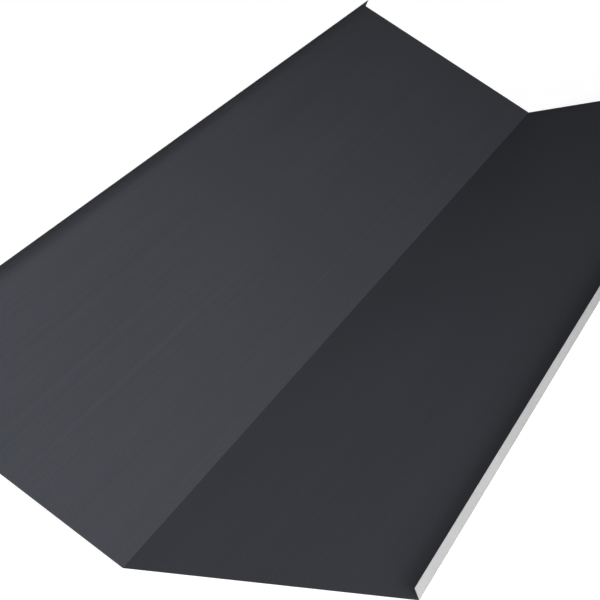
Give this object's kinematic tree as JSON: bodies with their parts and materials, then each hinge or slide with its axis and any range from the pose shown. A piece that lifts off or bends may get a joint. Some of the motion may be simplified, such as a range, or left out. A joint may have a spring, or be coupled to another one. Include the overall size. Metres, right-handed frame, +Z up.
{
  "type": "valley flashing",
  "caption": "Long sheet of coated steel folded into a wide shallow V, with a short upstand along each outer edge, that lines a roof valley.",
  "frame": {"origin": "on the floor, under the middle of the sheet's bounding box", "axes": "+Y along the valley, +Z up from the floor, +X across the sheet towards the lip of the wing that lies flat; installed in a roof, the sheet is turned 22.5 degrees about Y so that both wings rise alike"},
  "size_m": [0.998, 2, 0.4299],
  "materials": {
    "topcoat": "satin anthracite coil coating on galvanised steel; the underside has a light grey back coat"
  },
  "bodies": {
    "root": {"flashing_sheet": "topcoat"}
  },
  "joints": []
}
